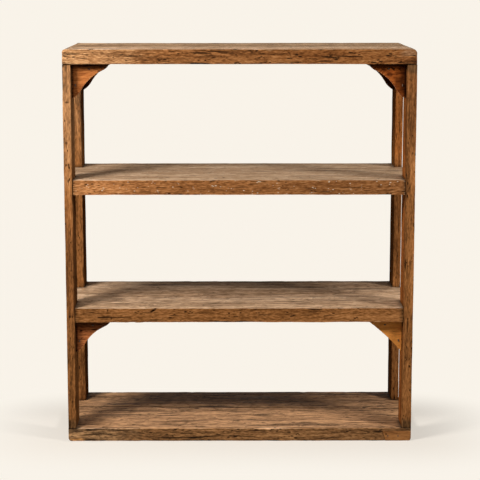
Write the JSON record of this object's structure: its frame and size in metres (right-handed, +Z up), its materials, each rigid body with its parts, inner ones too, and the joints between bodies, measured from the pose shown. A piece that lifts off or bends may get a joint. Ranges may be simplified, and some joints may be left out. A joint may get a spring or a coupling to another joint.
{
  "type": "wooden shelving unit",
  "caption": "Low open shelving unit of reclaimed planks: plank posts carry the top, notched shelves and a base, with ogee corner brackets and open sides and back.",
  "frame": {"origin": "middle of the underside, on the floor", "axes": "+Z up, +X to the right as seen from the front, +Y from the front to the rear"},
  "size_m": [1, 0.4, 1.14],
  "materials": {
    "top_wood": "weathered, waxed",
    "upper_shelf_wood": "weathered, waxed",
    "lower_shelf_wood": "weathered, waxed",
    "bottom_wood": "weathered, waxed",
    "patch_wood": "waxed",
    "post_wood": "worn, waxed",
    "bracket_wood": "old stain, worn",
    "gusset_wood": "waxed",
    "dowel_wood": "bare",
    "nail_iron": "rusted"
  },
  "bodies": {
    "root": {"bottom_dowels": "dowel_wood", "bottom_edge_patch": "patch_wood", "bottom_front_plank": "bottom_wood", "bottom_nails": "nail_iron", "bottom_rear_plank": "bottom_wood", "front_left_post": "post_wood", "front_right_post": "post_wood", "lower_bracket_nails": "nail_iron", "lower_front_left_bracket": "bracket_wood", "lower_front_right_gusset": "gusset_wood", "lower_rear_left_bracket": "bracket_wood", "lower_rear_right_bracket": "bracket_wood", "lower_shelf_board": "lower_shelf_wood", "lower_shelf_nails": "nail_iron", "patch_brads": "nail_iron", "rear_left_post": "post_wood", "rear_right_post": "post_wood", "top_bracket_nails": "nail_iron", "top_dowels": "dowel_wood", "top_front_left_bracket": "bracket_wood", "top_front_plank": "top_wood", "top_front_right_bracket": "bracket_wood", "top_nails": "nail_iron", "top_rear_left_bracket": "bracket_wood", "top_rear_plank": "top_wood", "top_rear_right_bracket": "bracket_wood", "upper_shelf_dowels": "dowel_wood", "upper_shelf_front_plank": "upper_shelf_wood", "upper_shelf_nails": "nail_iron", "upper_shelf_rear_plank": "upper_shelf_wood"}
  },
  "joints": []
}
